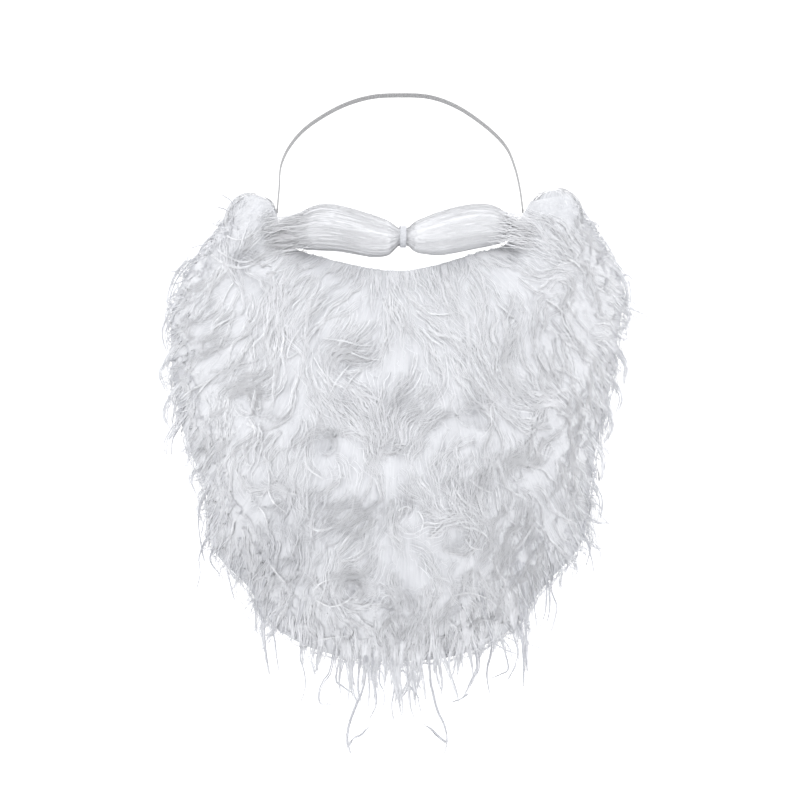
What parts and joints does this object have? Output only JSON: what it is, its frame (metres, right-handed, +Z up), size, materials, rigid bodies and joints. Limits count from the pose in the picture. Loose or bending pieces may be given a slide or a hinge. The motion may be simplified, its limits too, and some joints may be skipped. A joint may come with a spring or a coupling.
{
  "type": "fake beard",
  "caption": "White costume beard of curly fibre on a cloth backing, with a tied moustache, an open mouth slot and a thin elastic band round the back of the head.",
  "frame": {"origin": "on the wearer's upper lip, behind the middle of the moustache", "axes": "+Z up, the front of the beard faces -Y, +X is the right side of the picture, so the wearer's left"},
  "size_m": [0.3453, 0.2544, 0.4767],
  "materials": {
    "beard_fibre": "soft white curly synthetic fibre",
    "moustache_fibre": "smooth combed white synthetic fibre",
    "backing_cloth": "plain matt white felt",
    "tie_thread": "wound white thread",
    "elastic_weave": "flat braided grey elastic"
  },
  "bodies": {
    "root": {"beard_hair": "beard_fibre", "cloth_backing": "backing_cloth", "moustache": "moustache_fibre", "moustache_tie": "tie_thread", "elastic_band": "elastic_weave"}
  },
  "joints": []
}
